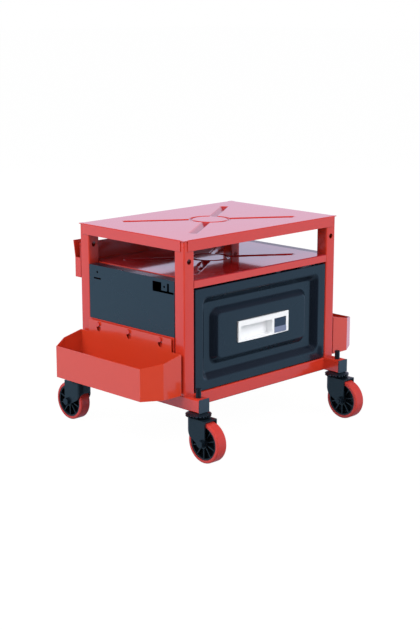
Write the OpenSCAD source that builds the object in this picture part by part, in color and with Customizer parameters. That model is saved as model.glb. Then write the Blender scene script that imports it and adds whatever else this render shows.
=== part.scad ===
// Rolling creeper seat for a workshop: a pressed steel seat on four square-tube posts, with a shelf under
// the seat, a drawer, a tray hung on each side, a tool rack on the back and four swivel casters.
// The origin is on the floor under the middle of the seat. X runs along the drawer front, Y to the back
// and Z up. Left and right are as seen from the drawer side.

/* [Frame] */
// Width over the outer faces of the posts
frame_w = 410; // [390:1:440]
// Depth over the outer faces of the posts
frame_d = 283; // [276:1:310]
// Outside of the square tube
tube_w = 25; // [23:0.5:26]
// Wall of the square tube
tube_wall = 1.5; // [1.2:0.1:1.8]
// Height of the posts above the base tubes
post_h = 280.5; // [275:0.5:320]
// Through hole near the top of each post
post_hole_d = 10; // [6:0.5:12]
// Drop of that hole below the top of the post
post_hole_drop = 37.5; // [36:0.5:40]
// Length of the two base tubes, without their end caps
base_tube_l = 355; // [352:1:400]
// Thickness of the flange of a tube cap
cap_t = 2.5; // [1.5:0.1:4]
// Length of the plug of a tube cap inside the tube
cap_plug_l = 4; // [2:0.5:4.5]

/* [Sheet metal] */
// Thickness of the folded and pressed steel sheet
sheet_t = 1.5; // [1.2:0.1:1.8]
// Height of the skirt folded down around the seat
skirt_h = 20; // [14:1:26]
// Length by which each skirt stops short of the corner
corner_relief = 9; // [4:1:12]
// Width of the four pressed grooves of the X
groove_w = 16; // [12:1:20]
// Width of the flat floor of a groove
groove_floor_w = 2; // [1:0.5:4]
// Depth of the grooves
groove_depth = 7; // [4:0.5:8]
// Length of the slope at each end of a groove
groove_slope_l = 18; // [10:1:24]
// Distance from the end of a groove to the corner of the seat
groove_corner_gap = 82.5; // [70:0.5:100]
// Radius of the pressed ring in the middle
ring_r = 37; // [32:1:45]
// Width of the ring's groove
ring_w = 8; // [6:0.5:10]
// Depth of the ring's groove
ring_depth = 3; // [2:0.5:4]
// Distance from the top of the seat down to the top of the shelf
shelf_drop = 74; // [72:1:80]
// Height of the lips folded down at the front and back of the shelf
shelf_lip_h = 14; // [12:0.5:18]
// Width by which the shelf laps the flanges of the side panels
shelf_lap = 3; // [1:0.5:6]

/* [Side and back panels] */
// Width of the top flange of a side panel
panel_flange_w = 26; // [25.5:0.5:29]
// Width of the flanges by which a side panel meets its posts and base tube
panel_edge_w = 12; // [6:1:14]
// Width of the flanges of the back panel
back_flange_w = 10; // [6:1:10]
// Length of the window in a side panel
window_l = 55; // [50:1:60]
// Height of that window
window_h = 18.5; // [16:0.5:22]
// Distance from the window to the front post
window_inset = 2; // [2:1:12]
// Distance from the window to the top of the panel
window_drop = 6.5; // [5:0.5:10]
// Width of the tab left standing in the window
tab_w = 15; // [12:0.5:18]
// Distance from that tab to the front edge of the window
tab_inset = 17; // [14:0.5:20]
// Width of the second tab, at the front edge of the window
front_tab_w = 12; // [8:0.5:13]
// Height of both tabs
tab_h = 14.5; // [8:0.5:16]
// Diameter of the small holes in the side panels and in their standing tabs
small_hole_d = 4.5; // [3:0.5:5]
// Distance from the small hole to the rear post
small_hole_inset = 23; // [18:1:30]
// Distance from the small hole to the top of the panel
small_hole_drop = 12.5; // [8:0.5:14]
// Length of the slot under the small hole
slot_l = 19.6; // [12:0.1:26]
// Height of that slot
slot_h = 3; // [2:0.5:5]
// Distance from that slot to the top of the panel
slot_drop = 23; // [20:0.5:28]

/* [Tool rack] */
// Height of the back plate of the rack
rack_h = 66.6; // [60:0.1:72]
// Height of that plate above the shelf
rack_rise = 35.3; // [30:0.1:35.5]
// Depth of the rack behind the posts
rack_depth = 16; // [14:0.5:30]
// Height of the end walls and the outer wall
rack_wall_h = 38; // [30:0.5:45]
// Width of the ears at the ends of the outer wall
ear_w = 42; // [30:1:60]
// Height of the ears above the outer wall
ear_h = 32; // [20:1:36]
// Outward tilt of the ears in degrees
ear_tilt = 9; // [0:1:15]
// Diameter of the rack's screws
rack_screw_d = 5; // [4:0.5:6]
// Distance from the upper screws to the top of the back plate
rack_screw_drop = 13; // [12:0.5:16]
// Distance between upper and lower screws
rack_screw_pitch = 32; // [26:1:36]

/* [Trays] */
// Width of a tray, away from the seat
tray_w = 79.5; // [70:0.5:110]
// Length of a tray
tray_l = 276.6; // [260:0.2:300]
// Length of the outer wall between the slanted corners
tray_front_l = 233; // [215:1:240]
// Distance from the back plate to the slanted corners
tray_corner_w = 43.3; // [35:0.1:55]
// Gap between the side panel and the back of the tray
tray_gap = 4.7; // [4.2:0.1:8]
// Height of the bottom of the trays above the base tubes
tray_rise = 1.7; // [1:0.1:6]
// Height of the outer wall
tray_front_h = 59.7; // [50:0.1:65]
// Height of the walls at the slanted corners
tray_corner_h = 66.4; // [60:0.1:72]
// Height of the walls at the back
tray_back_h = 75.8; // [70:0.1:80]
// Height of the back plate's tab
tray_tab_h = 100.2; // [100:0.1:108]
// Length of that tab
tray_tab_l = 227.6; // [200:0.2:240]
// Height of the hanging screws above the bottom of the tray
tray_screw_h = 94.3; // [93:0.1:96]
// Distance between the hanging screws
tray_screw_pitch = 85; // [70:1:95]
// Diameter of the hanging screws
tray_screw_d = 5; // [4:0.5:5.5]
// Large end of a keyhole
keyhole_d = 12; // [11:0.5:13]
// Lift that frees a tray from its screws
tray_lift = 8; // [7:0.5:9]
// Height by which the rail behind a tray stands above the tray's tab
tray_rail_rise = 2; // [1:0.5:4]

/* [Drawer] */
// Gap between the drawer front and the posts
front_side_gap = 1.8; // [0.8:0.1:2]
// Gap between the drawer front and the bottom rail
front_low_gap = 1.5; // [1:0.1:3]
// Gap between the drawer front and the lip of the shelf
front_top_gap = 3.5; // [3:0.1:4.5]
// Depth of the flanges folded back around the drawer front
front_flange_d = 10; // [8:0.5:10.5]
// Distance from the recess pressed into the drawer front to its left and right edges
recess_side_gap = 20.2; // [20:0.1:29]
// Distance from the recess to the top and bottom edges
recess_edge_gap = 17.1; // [16:0.1:21]
// Radius of the corners of the recess at the front
recess_corner_r = 14; // [13.5:0.5:20]
// Depth of the recess
recess_depth = 12; // [11:0.5:13]
// Width of the recess left and right of the raised field in its middle
channel_side_w = 38; // [34:0.5:44]
// Height of the raised field above and below the handle bezel
boss_border_h = 22.25; // [20:0.05:24]
// Radius of the corners of the raised field at the front
boss_corner_r = 8; // [5:0.5:12]
// Slope of the raised field's sides, measured across
boss_slope = 10.5; // [8:0.5:12]
// Distance from the middle of the drawer front down to the middle of the pressing
emboss_drop = 0.6; // [0:0.1:2]
// Thickness of the sheet of the drawer box
box_t = 1.2; // [1:0.1:1.5]
// Height of the drawer box
box_h = 160; // [150:1:165]
// Height of the bottom of the drawer box above the bottom rail
box_rise = 9; // [6:0.5:12]
// Distance from the drawer box to the back panel
box_back_gap = 20.5; // [14:0.5:30]
// Diameter of the studs that hold the drawer front
stud_d = 4; // [3:0.5:5]

/* [Handle and latch] */
// Width of the handle bezel
bezel_w = 137; // [132:1:150]
// Height of the handle bezel
bezel_h = 39.6; // [38:0.1:44]
// Height of the bezel's ends above the drawer front
bezel_proud = 3; // [2:0.1:4]
// Bulge of the bezel towards its middle
bezel_crown = 2; // [0.5:0.1:3]
// Width of the border at the left end of the bezel
bezel_border_l = 5.4; // [4:0.1:8]
// Width of the border at the bottom of the bezel
bezel_border_low = 2; // [1.8:0.1:3]
// Width of the finger cup
cup_w = 84.5; // [80:0.5:89.5]
// Height of the finger cup and of the button's window
cup_h = 28.2; // [26:0.1:30]
// Wall of the finger cup
cup_wall = 1.5; // [1.2:0.1:1.7]
// Radius of the corners of the cup
cup_corner_r = 5; // [2:0.5:8]
// Width of the bar between the cup and the button
divider_w = 5.4; // [3:0.1:7]
// Width of the button's window
button_window_w = 33.8; // [30:0.2:35]
// Travel of the button and of the latch bar
button_travel = 3.5; // [3:0.1:3.5]
// Width of the latch bar
latch_w = 12; // [10:0.5:14]
// Thickness of the latch bar
latch_t = 2; // [1.5:0.1:2.5]

/* [Slides] */
// Distance from the ends of the drawer slides to the outer faces of the posts
slide_end_gap = 11.5; // [11:0.5:20]
// Height of the outer slide member
slide_h = 35; // [32:0.5:40]
// Width of a slide between post and drawer box
slide_w = 12.7; // [12.5:0.1:13.5]
// Height of the middle of the slides above the bottom rail
slide_rise = 85; // [60:1:100]
// Thickness of the outer and inner slide members
slide_t = 1.2; // [1:0.1:1.3]
// Diameter of the slides' balls
ball_d = 4.4; // [4:0.1:4.6]
// Number of balls along each track of a cage
ball_count = 5; // [3:1:6]
// Distance between those balls
ball_pitch = 12; // [8:1:13]
// Diameter of the slides' screws
slide_screw_d = 4; // [3:0.5:4.5]

/* [Casters] */
// Diameter of the wheels
wheel_d = 75; // [70:1:85]
// Width of the wheels
wheel_w = 23; // [20:0.5:24]
// Thickness of the tread
tread_t = 6; // [4:0.5:9]
// Offset of the wheel's axle from the stem
trail = 23; // [20:0.5:26]
// Distance from the stem to the end of its base tube
stem_inset = 13.1; // [12.8:0.1:18]
// Diameter of the stem
stem_d = 10; // [8:0.5:10.5]
// Height of the stem above the base tube
stem_rise = 17; // [10:0.5:20]
// Thickness of the fork's sheet
fork_t = 2.8; // [2.4:0.1:3.2]
// Gap between the legs of the fork
fork_gap = 26; // [25.5:0.1:28]
// Reach of the fork behind the stem
fork_back = 17.6; // [17:0.1:20]
// Gap between the wheel and the crown of the fork
crown_gap = 1.7; // [1.5:0.1:4]
// Diameter of the axle bolt
axle_d = 8; // [6:0.5:9]
// Outside of the bush on the axle
bush_d = 12; // [11.5:0.5:14]
// Number of ribs on each wheel hub
rib_count = 10; // [6:1:14]

/* [Hidden] */

$fn = 48;
LEFT = -1;
RIGHT = 1;
FRONT = -1;
REAR = 1;

RED = [0.84, 0.30, 0.26];
SLATE = [0.20, 0.27, 0.34];
BLACK = [0.12, 0.13, 0.16];
WHITE = [0.95, 0.95, 0.94];
BLUE = [0.24, 0.29, 0.40];
STEEL = [0.70, 0.71, 0.73];
TREAD_RED = [0.74, 0.12, 0.12];

// Overrun of every cut past the face that it leaves
over = 1;
// Radial clearance of a shaft in its hole
run_gap = 0.05;
// Clearance between faces that slide past each other
play = 0.3;
// Clearance above and below a bearing ball
ball_play = 0.15;

// Heights of the caster's parts, from the fork up to the base tube
wheel_r = wheel_d / 2;
lower_race_h = 3.1;
race_gap = 3.1;
upper_race_h = 4.3;
crown_low = wheel_d + crown_gap;
crown_top = crown_low + fork_t;
race_low = crown_top + lower_race_h;
race_top = race_low + race_gap;
base_low = race_top + upper_race_h;
base_top = base_low + tube_w;
post_top = base_top + post_h;
seat_top = post_top + sheet_t;
shelf_top = seat_top - shelf_drop;
shelf_low = shelf_top - sheet_t;
lip_low = shelf_top - shelf_lip_h;

// Places that the frame gives to the other pieces
frame_x = frame_w / 2;
frame_y = frame_d / 2;
post_x = frame_x - tube_w / 2;
post_y = frame_y - tube_w / 2;
inner_x = frame_x - tube_w;
inner_y = frame_y - tube_w;
base_y = base_tube_l / 2;
caster_y = base_y - stem_inset;
seat_x = frame_x + sheet_t;
seat_y = frame_y + sheet_t;
groove_angle = atan2(seat_y, seat_x);
groove_end_r = norm([seat_x, seat_y]) - groove_corner_gap;

// Slides: places measured inwards from the inner face of the post
slide_l = frame_d - 2 * slide_end_gap;
slide_z = base_top + slide_rise;
slide_web_in = slide_w - slide_t;
box_x = inner_x - slide_w;
outer_flange_in = 10.4;
inner_flange_in = 4.3;
cage_web_in = 3.3;
cage_web_t = 0.6;
cage_flange_in = 9.6;
cage_strip_t = 1;
ball_in = 6.5;
track_z = slide_h / 2 - slide_t - ball_play - ball_d / 2;
inner_half_h = track_z - ball_d / 2 - ball_play;
slide_screw_y = (slide_l / 2 + inner_y) / 2;
slide_head_d = 7;
slide_head_t = 1.8;
slide_screw_l = 8;
cage_l = ball_pitch * ball_count;
box_screw_pitch = 95;

// Drawer front and box
front_x = inner_x - front_side_gap;
front_low = base_top + front_low_gap;
front_top = lip_low - front_top_gap;
emboss_z = (front_low + front_top) / 2 - emboss_drop;
recess_w = 2 * (front_x - recess_side_gap);
recess_h = front_top - front_low - 2 * recess_edge_gap;
boss_w = recess_w - 2 * channel_side_w;
boss_h = bezel_h + 2 * boss_border_h;
pressed_back = -frame_y + recess_depth + sheet_t;
box_back = frame_y - sheet_t - box_back_gap;
box_low = base_top + box_rise;
box_top = box_low + box_h;
stud_x = boss_w / 2 + boss_slope + (recess_w / 2 - recess_depth - boss_w / 2 - boss_slope) / 2;
stud_pitch = 100;
stud_l = 8;
stud_nut_af = 7;
stud_nut_h = 3.2;

// Handle and latch
bezel_x = bezel_w / 2;
bezel_low = emboss_z - bezel_h / 2;
cup_low = bezel_low + bezel_border_low;
cup_left = -bezel_x + bezel_border_l;
cup_right = cup_left + cup_w;
button_left = cup_right + divider_w;
button_right = button_left + button_window_w;
cup_floor = pressed_back - play - cup_wall;
bezel_bulge_r = (bezel_x * bezel_x + bezel_crown * bezel_crown) / (2 * bezel_crown);
bezel_face = -frame_y - bezel_proud - bezel_crown;
button_x = (button_left + button_right) / 2;
button_set = 1.2;
button_t = 3;
button_face = -frame_y - bezel_proud - button_set;
button_pad_h = 9.6;
button_pad_t = 0.8;
latch_back = pressed_back + play + latch_t;
latch_top = lip_low - play;
hook_h = 2.6;
cam_w = 10;
cam_h = 10;
cam_rise = 6;
cam_reach = 5.5;
cam_low = cup_low + 12;
cam_tip = pressed_back - cam_reach + 1;
foot_h = 5;
clip_h = 9;
clip_t = 1.5;
latch_slot_w = latch_w + 2 * (play + clip_t) + 3;
spring_d = 5.5;
spring_wire_d = 0.8;
spring_turns = 6;
spring_rings = 8;
spring_sides = 6;
spring_seat_t = 1.5;
spring_seat_z = cup_low - 6;
foot_low = cam_low - foot_h;
spring_y = pressed_back - cam_reach;

// Trays
tray_back = frame_x + tray_gap;
tray_x = tray_back + tray_w;
tray_corner_x = tray_back + tray_corner_w;
tray_low = base_top + tray_rise;
tray_screw_z = tray_low + tray_screw_h;
corner_turn = atan2((tray_l - tray_front_l) / 2, tray_w - tray_corner_w);
tray_head_d = 9;
tray_head_t = 3;
tray_screw_l = 15;
tray_nut_af = 8;
tray_nut_h = 4;
spacer_d = 10;

// Rack
rack_top = shelf_top + rack_rise;
rack_low = rack_top - rack_h;
rack_head_d = 9;
rack_head_t = 3;
rack_screw_l = 10;

// Casters
fork_x = fork_gap / 2 + fork_t;
fork_corner_r = 11;
fork_lobe_r = 8;
fork_slant = [-7.4, 45.5];
fork_rear_low = 62;
race_neck_r = 18;
race_rim_r = 23.5;
top_race_r = 24;
top_race_neck_r = 15;
race_ball_d = 4.5;
race_ball_r = 18;
race_ball_count = 20;
stem_head_d = 16;
stem_head_t = 3;
stem_nut_af = 16;
stem_nut_h = 8;
axle_head_af = 13;
axle_head_h = 5.3;
axle_nut_h = 6.5;
axle_tail_l = 2;
hub_gap = 0.5;
hub_boss_r = 10;
hub_rim_t = 3;
hub_web_t = 4;
hub_rib_t = 2;
hub_inset = 1;
tread_edge_r = 3;

// A box between two corners, given as its spans along X, Y and Z
module span(x, y, z)
    translate([x[0], y[0], z[0]]) cube([x[1] - x[0], y[1] - y[0], z[1] - z[0]]);

// Turns a piece drawn for the right-hand side into one for either side
module on_side(side) mirror([side < 0 ? 1 : 0, 0, 0]) children();

// Turns a piece drawn for the rear end into one for either end
module at_end(end) mirror([0, end < 0 ? 1 : 0, 0]) children();

// Turns the Z axis into the X axis or the Y axis
module along_x() rotate([0, 90, 0]) children();
module along_y() rotate([-90, 0, 0]) children();

// A hexagon of a given width across flats, with two flats facing along Y
module hexagon(af, h) cylinder(d = af / cos(30), h = h, $fn = 6);

// A flat bar with round corners, standing up from the XY plane
module round_bar(w, d, r, h) {
    translate([-w / 2 + r, -d / 2, 0]) cube([w - 2 * r, d, h]);
    translate([-w / 2, -d / 2 + r, 0]) cube([w, d - 2 * r, h]);
    for (x = [-1, 1], y = [-1, 1])
        translate([x * (w / 2 - r), y * (d / 2 - r), 0]) cylinder(r = r, h = h);
}

// The grooves pressed into the seat and the shelf: an X with a ring in its middle
module pressing(top, rise) translate([0, 0, top]) {
    for (angle = [groove_angle, 180 - groove_angle, 180 + groove_angle, -groove_angle])
        rotate([0, 0, angle]) intersection() {
            along_x() linear_extrude(groove_end_r) rotate([0, 0, 90]) polygon([
                [-groove_w / 2, rise], [-groove_w / 2, 0], [-groove_floor_w / 2, -groove_depth],
                [groove_floor_w / 2, -groove_depth], [groove_w / 2, 0], [groove_w / 2, rise]]);
            rotate([90, 0, 0]) linear_extrude(groove_w + 2 * over, center = true) polygon([
                [ring_r, rise], [ring_r, 0], [ring_r + groove_slope_l, -groove_depth],
                [groove_end_r - groove_slope_l, -groove_depth], [groove_end_r, 0], [groove_end_r, rise]]);
        }
    rotate_extrude($fn = 96) polygon([
        [ring_r - ring_w / 2, rise], [ring_r - ring_w / 2, 0], [ring_r - groove_floor_w / 2, -ring_depth],
        [ring_r + groove_floor_w / 2, -ring_depth], [ring_r + ring_w / 2, 0], [ring_r + ring_w / 2, rise]]);
}

// A sheet with the grooves pressed into it: its children are the flat sheet and its folds
module pressed_sheet(top) difference() {
    union() {
        children();
        translate([0, 0, -sheet_t]) pressing(top, sheet_t / 2);
    }
    pressing(top, over);
}

module seat_plate() color(RED) pressed_sheet(seat_top) {
    span([-seat_x, seat_x], [-seat_y, seat_y], [post_top, seat_top]);
    for (end = [FRONT, REAR]) at_end(end)
        span([corner_relief - seat_x, seat_x - corner_relief], [frame_y, seat_y],
            [seat_top - skirt_h, seat_top]);
    for (side = [LEFT, RIGHT]) on_side(side)
        span([frame_x, seat_x], [corner_relief - seat_y, seat_y - corner_relief],
            [seat_top - skirt_h, seat_top]);
}

module shelf_plate() color(RED) pressed_sheet(shelf_top) {
    lap_x = frame_x - panel_flange_w + shelf_lap;
    span([-inner_x, inner_x], [-frame_y, frame_y], [shelf_low, shelf_top]);
    span([-lap_x, lap_x], [-inner_y, inner_y], [shelf_low, shelf_top]);
    for (end = [FRONT, REAR]) at_end(end)
        span([-inner_x, inner_x], [frame_y - sheet_t, frame_y], [lip_low, shelf_top]);
}

module post(side, end) color(RED) on_side(side) at_end(end) difference() {
    span([inner_x, frame_x], [inner_y, frame_y], [base_top, post_top]);
    span([inner_x + tube_wall, frame_x - tube_wall], [inner_y + tube_wall, frame_y - tube_wall],
        [base_top - over, post_top + over]);
    translate([post_x, inner_y - over, post_top - post_hole_drop])
        along_y() cylinder(d = post_hole_d, h = tube_w + 2 * over);
    translate([inner_x - over, slide_screw_y, slide_z])
        along_x() cylinder(d = slide_screw_d + 2 * run_gap, h = tube_wall + 2 * over);
    if (end == REAR) rack_screw_places() translate([0, 0, -tube_wall - over])
        cylinder(d = rack_screw_d + 2 * run_gap, h = tube_wall + 2 * over);
}

module base_tube(side) color(RED) on_side(side) difference() {
    span([inner_x, frame_x], [-base_y, base_y], [base_low, base_top]);
    span([inner_x + tube_wall, frame_x - tube_wall], [-base_y - over, base_y + over],
        [base_low + tube_wall, base_top - tube_wall]);
    for (end = [FRONT, REAR]) at_end(end)
        translate([post_x, caster_y, base_low - over])
            cylinder(d = stem_d + 2 * run_gap, h = tube_w + 2 * over);
}

module rail(end) color(RED) at_end(end) difference() {
    span([-inner_x, inner_x], [inner_y, frame_y], [base_low, base_top]);
    span([-inner_x - over, inner_x + over], [inner_y + tube_wall, frame_y - tube_wall],
        [base_low + tube_wall, base_top - tube_wall]);
}

module tube_caps() color(SLATE) for (side = [LEFT, RIGHT], end = [FRONT, REAR])
    on_side(side) at_end(end) {
        span([inner_x, frame_x], [base_y, base_y + cap_t], [base_low, base_top]);
        wall = tube_wall + run_gap;
        span([inner_x + wall, frame_x - wall], [base_y - cap_plug_l, base_y],
            [base_low + wall, base_top - wall]);
    }

module side_panel(side) color(SLATE) on_side(side) difference() {
    edge_x = frame_x - panel_edge_w;
    union() {
        span([frame_x - sheet_t, frame_x], [-inner_y, inner_y], [base_top, shelf_low]);
        span([frame_x - panel_flange_w, frame_x], [-inner_y, inner_y], [shelf_low - sheet_t, shelf_low]);
        span([edge_x, frame_x], [-inner_y, inner_y], [base_top, base_top + sheet_t]);
        for (end = [FRONT, REAR]) at_end(end)
            span([edge_x, frame_x], [inner_y - sheet_t, inner_y], [base_top, shelf_low]);
    }
    panel_window();
    for (y = [-1, 0, 1]) translate([edge_x, y * tray_screw_pitch, tray_screw_z])
        along_x() cylinder(d = tray_screw_d + 2 * run_gap, h = panel_edge_w + over);
}

// The window with its two standing tabs, the small hole and the slot in a side panel
module panel_window() {
    cut_x = [frame_x - sheet_t - over, frame_x + over];
    window_y = -inner_y + window_inset;
    window_top = shelf_low - window_drop;
    tab_y = window_y + tab_inset;
    difference() {
        span(cut_x, [window_y, window_y + window_l], [window_top - window_h, window_top]);
        span(cut_x, [tab_y, tab_y + tab_w], [window_top - tab_h, window_top + over]);
        span(cut_x, [window_y - over, window_y + front_tab_w], [window_top - tab_h, window_top + over]);
    }
    translate([cut_x[0], tab_y + tab_w / 2, window_top - tab_h / 2])
        along_x() cylinder(d = small_hole_d, h = sheet_t + 2 * over);
    translate([cut_x[0], inner_y - small_hole_inset, shelf_low - small_hole_drop])
        along_x() cylinder(d = small_hole_d, h = sheet_t + 2 * over);
    slot_y = inner_y - small_hole_inset - slot_l / 2;
    span(cut_x, [slot_y, slot_y + slot_l], [shelf_low - slot_drop - slot_h, shelf_low - slot_drop]);
}

module back_panel() color(SLATE) {
    back_y = frame_y - sheet_t;
    flange_y = frame_y - back_flange_w;
    span([-inner_x, inner_x], [back_y, frame_y], [base_top, lip_low]);
    span([-inner_x, inner_x], [flange_y, frame_y], [base_top, base_top + sheet_t]);
    for (side = [LEFT, RIGHT]) on_side(side)
        span([inner_x - sheet_t, inner_x], [flange_y, frame_y], [base_top, lip_low]);
}

// Where the rack's screws enter on one side, with Z turned to the back
module rack_screw_places() for (drop = [rack_screw_drop, rack_screw_drop + rack_screw_pitch])
    translate([post_x, frame_y, rack_top - drop]) along_y() children();

module tool_rack() color(RED) difference() {
    outer_y = frame_y + rack_depth;
    wall_top = rack_low + rack_wall_h;
    lean = ear_h * tan(ear_tilt);
    union() {
        span([-frame_x, frame_x], [frame_y, frame_y + sheet_t], [rack_low, rack_top]);
        span([-frame_x, frame_x], [frame_y, outer_y], [rack_low, rack_low + sheet_t]);
        span([-frame_x, frame_x], [outer_y - sheet_t, outer_y], [rack_low, wall_top]);
        for (side = [LEFT, RIGHT]) on_side(side) {
            span([frame_x - sheet_t, frame_x], [frame_y, outer_y], [rack_low, wall_top]);
            translate([frame_x - ear_w, outer_y, wall_top]) rotate([90, 0, 90]) linear_extrude(ear_w)
                polygon([
                    [-sheet_t, -sheet_t], [0, -sheet_t], [0, 0], [lean, ear_h], [lean - sheet_t, ear_h],
                    [-sheet_t, 0]]);
        }
    }
    for (side = [LEFT, RIGHT]) on_side(side) {
        rack_screw_places() translate([0, 0, -over])
            cylinder(d = rack_screw_d + 2 * run_gap, h = sheet_t + 2 * over);
        translate([post_x, frame_y - over, post_top - post_hole_drop])
            along_y() cylinder(d = post_hole_d, h = sheet_t + 2 * over);
    }
}

module rack_screws() color(STEEL) for (side = [LEFT, RIGHT]) on_side(side) rack_screw_places() {
    translate([0, 0, sheet_t]) cylinder(d = rack_head_d, h = rack_head_t);
    translate([0, 0, sheet_t - rack_screw_l]) cylinder(d = rack_screw_d, h = rack_screw_l);
}

// Plan of a tray, drawn in by a wall thickness
module tray_plan(wall) {
    end_y = tray_l / 2 - wall;
    corner_x = tray_corner_x - wall * tan(corner_turn / 2);
    corner_y = tray_front_l / 2 - wall * tan((90 - corner_turn) / 2);
    polygon([
        [tray_back + wall, -end_y], [corner_x, -end_y], [tray_x - wall, -corner_y],
        [tray_x - wall, corner_y], [corner_x, end_y], [tray_back + wall, end_y]]);
}

module tray(side) color(RED) on_side(side) difference() {
    tab_y = tray_tab_l / 2;
    union() {
        difference() {
            translate([0, 0, tray_low]) linear_extrude(tray_back_h) tray_plan(0);
            translate([0, 0, tray_low + sheet_t]) linear_extrude(tray_back_h) tray_plan(sheet_t);
            rotate([90, 0, 0]) linear_extrude(tray_l + 2 * over, center = true) polygon([
                [tray_back + sheet_t, tray_low + tray_back_h], [tray_corner_x, tray_low + tray_corner_h],
                [tray_x, tray_low + tray_front_h], [tray_x + over, tray_low + tray_front_h],
                [tray_x + over, tray_low + tray_back_h + over],
                [tray_back + sheet_t, tray_low + tray_back_h + over]]);
        }
        span([tray_back, tray_back + sheet_t], [-tab_y, tab_y], [tray_low, tray_low + tray_tab_h]);
    }
    for (y = [-1, 0, 1]) translate([tray_back - over, y * tray_screw_pitch, tray_screw_z]) {
        slot_w = tray_screw_d + 2 * play;
        cut_l = sheet_t + 2 * over;
        along_x() cylinder(d = slot_w, h = cut_l);
        translate([0, -slot_w / 2, -tray_lift]) cube([cut_l, slot_w, tray_lift]);
        translate([0, 0, -tray_lift]) along_x() cylinder(d = keyhole_d, h = cut_l);
    }
}

// Where the hanging screws stand on the outer faces of the side panels, with Z turned outwards
module tray_screw_places() for (side = [LEFT, RIGHT], y = [-1, 0, 1])
    on_side(side) translate([frame_x, y * tray_screw_pitch, tray_screw_z]) along_x() children();

// The red strips on the side panels that carry the trays
module tray_rails() color(RED) for (side = [LEFT, RIGHT]) on_side(side) difference() {
    span([frame_x, frame_x + sheet_t], [-inner_y, inner_y],
        [base_top, tray_low + tray_tab_h + tray_rail_rise]);
    for (y = [-1, 0, 1]) translate([frame_x - over, y * tray_screw_pitch, tray_screw_z])
        along_x() cylinder(d = tray_screw_d + 2 * run_gap, h = sheet_t + 2 * over);
}

module tray_screws() color(STEEL) tray_screw_places() {
    head_low = tray_gap + sheet_t + play;
    translate([0, 0, head_low]) cylinder(d = tray_head_d, h = tray_head_t);
    translate([0, 0, head_low - tray_screw_l]) cylinder(d = tray_screw_d, h = tray_screw_l);
    translate([0, 0, -sheet_t - tray_nut_h]) difference() {
        hexagon(tray_nut_af, tray_nut_h);
        translate([0, 0, -over]) cylinder(d = tray_screw_d + 2 * run_gap, h = tray_nut_h + 2 * over);
    }
}

module tray_spacers() color(STEEL) tray_screw_places() difference() {
    translate([0, 0, sheet_t]) cylinder(d = spacer_d, h = tray_gap - sheet_t - play);
    translate([0, 0, -over]) cylinder(d = tray_screw_d + 2 * run_gap, h = tray_gap + 2 * over);
}

// A field with slanted sides and round corners that goes down into the drawer front: width and height at
// the face, corner radius at the face, depth, and how far its sides move out (or in, below zero) by then
module slanted_field(w, h, r, depth, slope, lead) hull() for (x = [-1, 1], z = [-1, 1])
    translate([x * (w / 2 - r), -frame_y - lead, emboss_z + z * (h / 2 - r)]) along_y()
        cylinder(r1 = r - lead * slope / depth, r2 = r + slope, h = depth + lead, $fn = 32);

// Everything behind the pressed surface of the drawer front, down to a given depth
module behind_front(margin) {
    difference() {
        span([-front_x - margin, front_x + margin], [-frame_y, pressed_back + sheet_t],
            [front_low - margin, front_top + margin]);
        slanted_field(recess_w, recess_h, recess_corner_r, recess_depth, -recess_depth, over);
    }
    slanted_field(boss_w, boss_h, boss_corner_r, recess_depth, boss_slope, 0);
}

module drawer_front() color(SLATE) difference() {
    union() {
        difference() {
            behind_front(0);
            translate([0, sheet_t, 0]) behind_front(over);
        }
        difference() {
            span([-front_x, front_x], [-frame_y, front_flange_d - frame_y], [front_low, front_top]);
            span([sheet_t - front_x, front_x - sheet_t], [-frame_y - over, front_flange_d - frame_y + over],
                [front_low + sheet_t, front_top - sheet_t]);
        }
    }
    span([cup_left - cup_wall - run_gap, button_right], [-frame_y - over, sheet_t + over - frame_y],
        [cup_low - cup_wall - run_gap, cup_low + cup_h + cup_wall + run_gap]);
    notch_x = latch_w / 2 + play;
    span([button_x - notch_x, button_x + notch_x],
        [sheet_t - frame_y, front_flange_d - frame_y + over], [front_top - 2 * sheet_t, front_top + over]);
}

module stud_places() for (x = [-1, 1], z = [-1, 1])
    translate([x * stud_x, pressed_back, emboss_z + z * stud_pitch / 2]) along_y() children();

// Where the drawer box is screwed to an inner slide member, with Z turned outwards
module box_screw_places(side) for (y = [-1, 0, 1])
    on_side(side) translate([box_x, y * box_screw_pitch, slide_z]) along_x() children();

// The drawer box's bottom and sides, folded from one sheet
module drawer_box() color(SLATE) difference() {
    span([-box_x, box_x], [pressed_back, box_back], [box_low, box_top]);
    span([box_t - box_x, box_x - box_t], [pressed_back - over, box_back + over],
        [box_low + box_t, box_top + over]);
    for (side = [LEFT, RIGHT]) box_screw_places(side) translate([0, 0, -box_t - over])
        cylinder(d = slide_screw_d + 2 * run_gap, h = box_t + 2 * over);
}

// The front and back walls of the drawer box, welded in between its sides
module drawer_box_ends() color(SLATE) difference() {
    for (y = [pressed_back, box_back - box_t])
        span([box_t - box_x, box_x - box_t], [y, y + box_t], [box_low + box_t, box_top]);
    span([button_x - latch_slot_w / 2, button_x + latch_slot_w / 2],
        [pressed_back - over, pressed_back + box_t + over], [cup_low, box_top + over]);
    stud_places() translate([0, 0, -over]) cylinder(d = stud_d + 2 * run_gap, h = box_t + 2 * over);
}

module drawer_screws() color(STEEL) {
    stud_places() {
        cylinder(d = stud_d, h = stud_l);
        translate([0, 0, box_t]) difference() {
            hexagon(stud_nut_af, stud_nut_h);
            translate([0, 0, -over]) cylinder(d = stud_d + 2 * run_gap, h = stud_nut_h + 2 * over);
        }
    }
    for (side = [LEFT, RIGHT]) box_screw_places(side) {
        translate([0, 0, -box_t - slide_head_t]) cylinder(d = slide_head_d, h = slide_head_t);
        translate([0, 0, -box_t]) cylinder(d = slide_screw_d, h = box_t + 2 * slide_t);
    }
}

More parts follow.
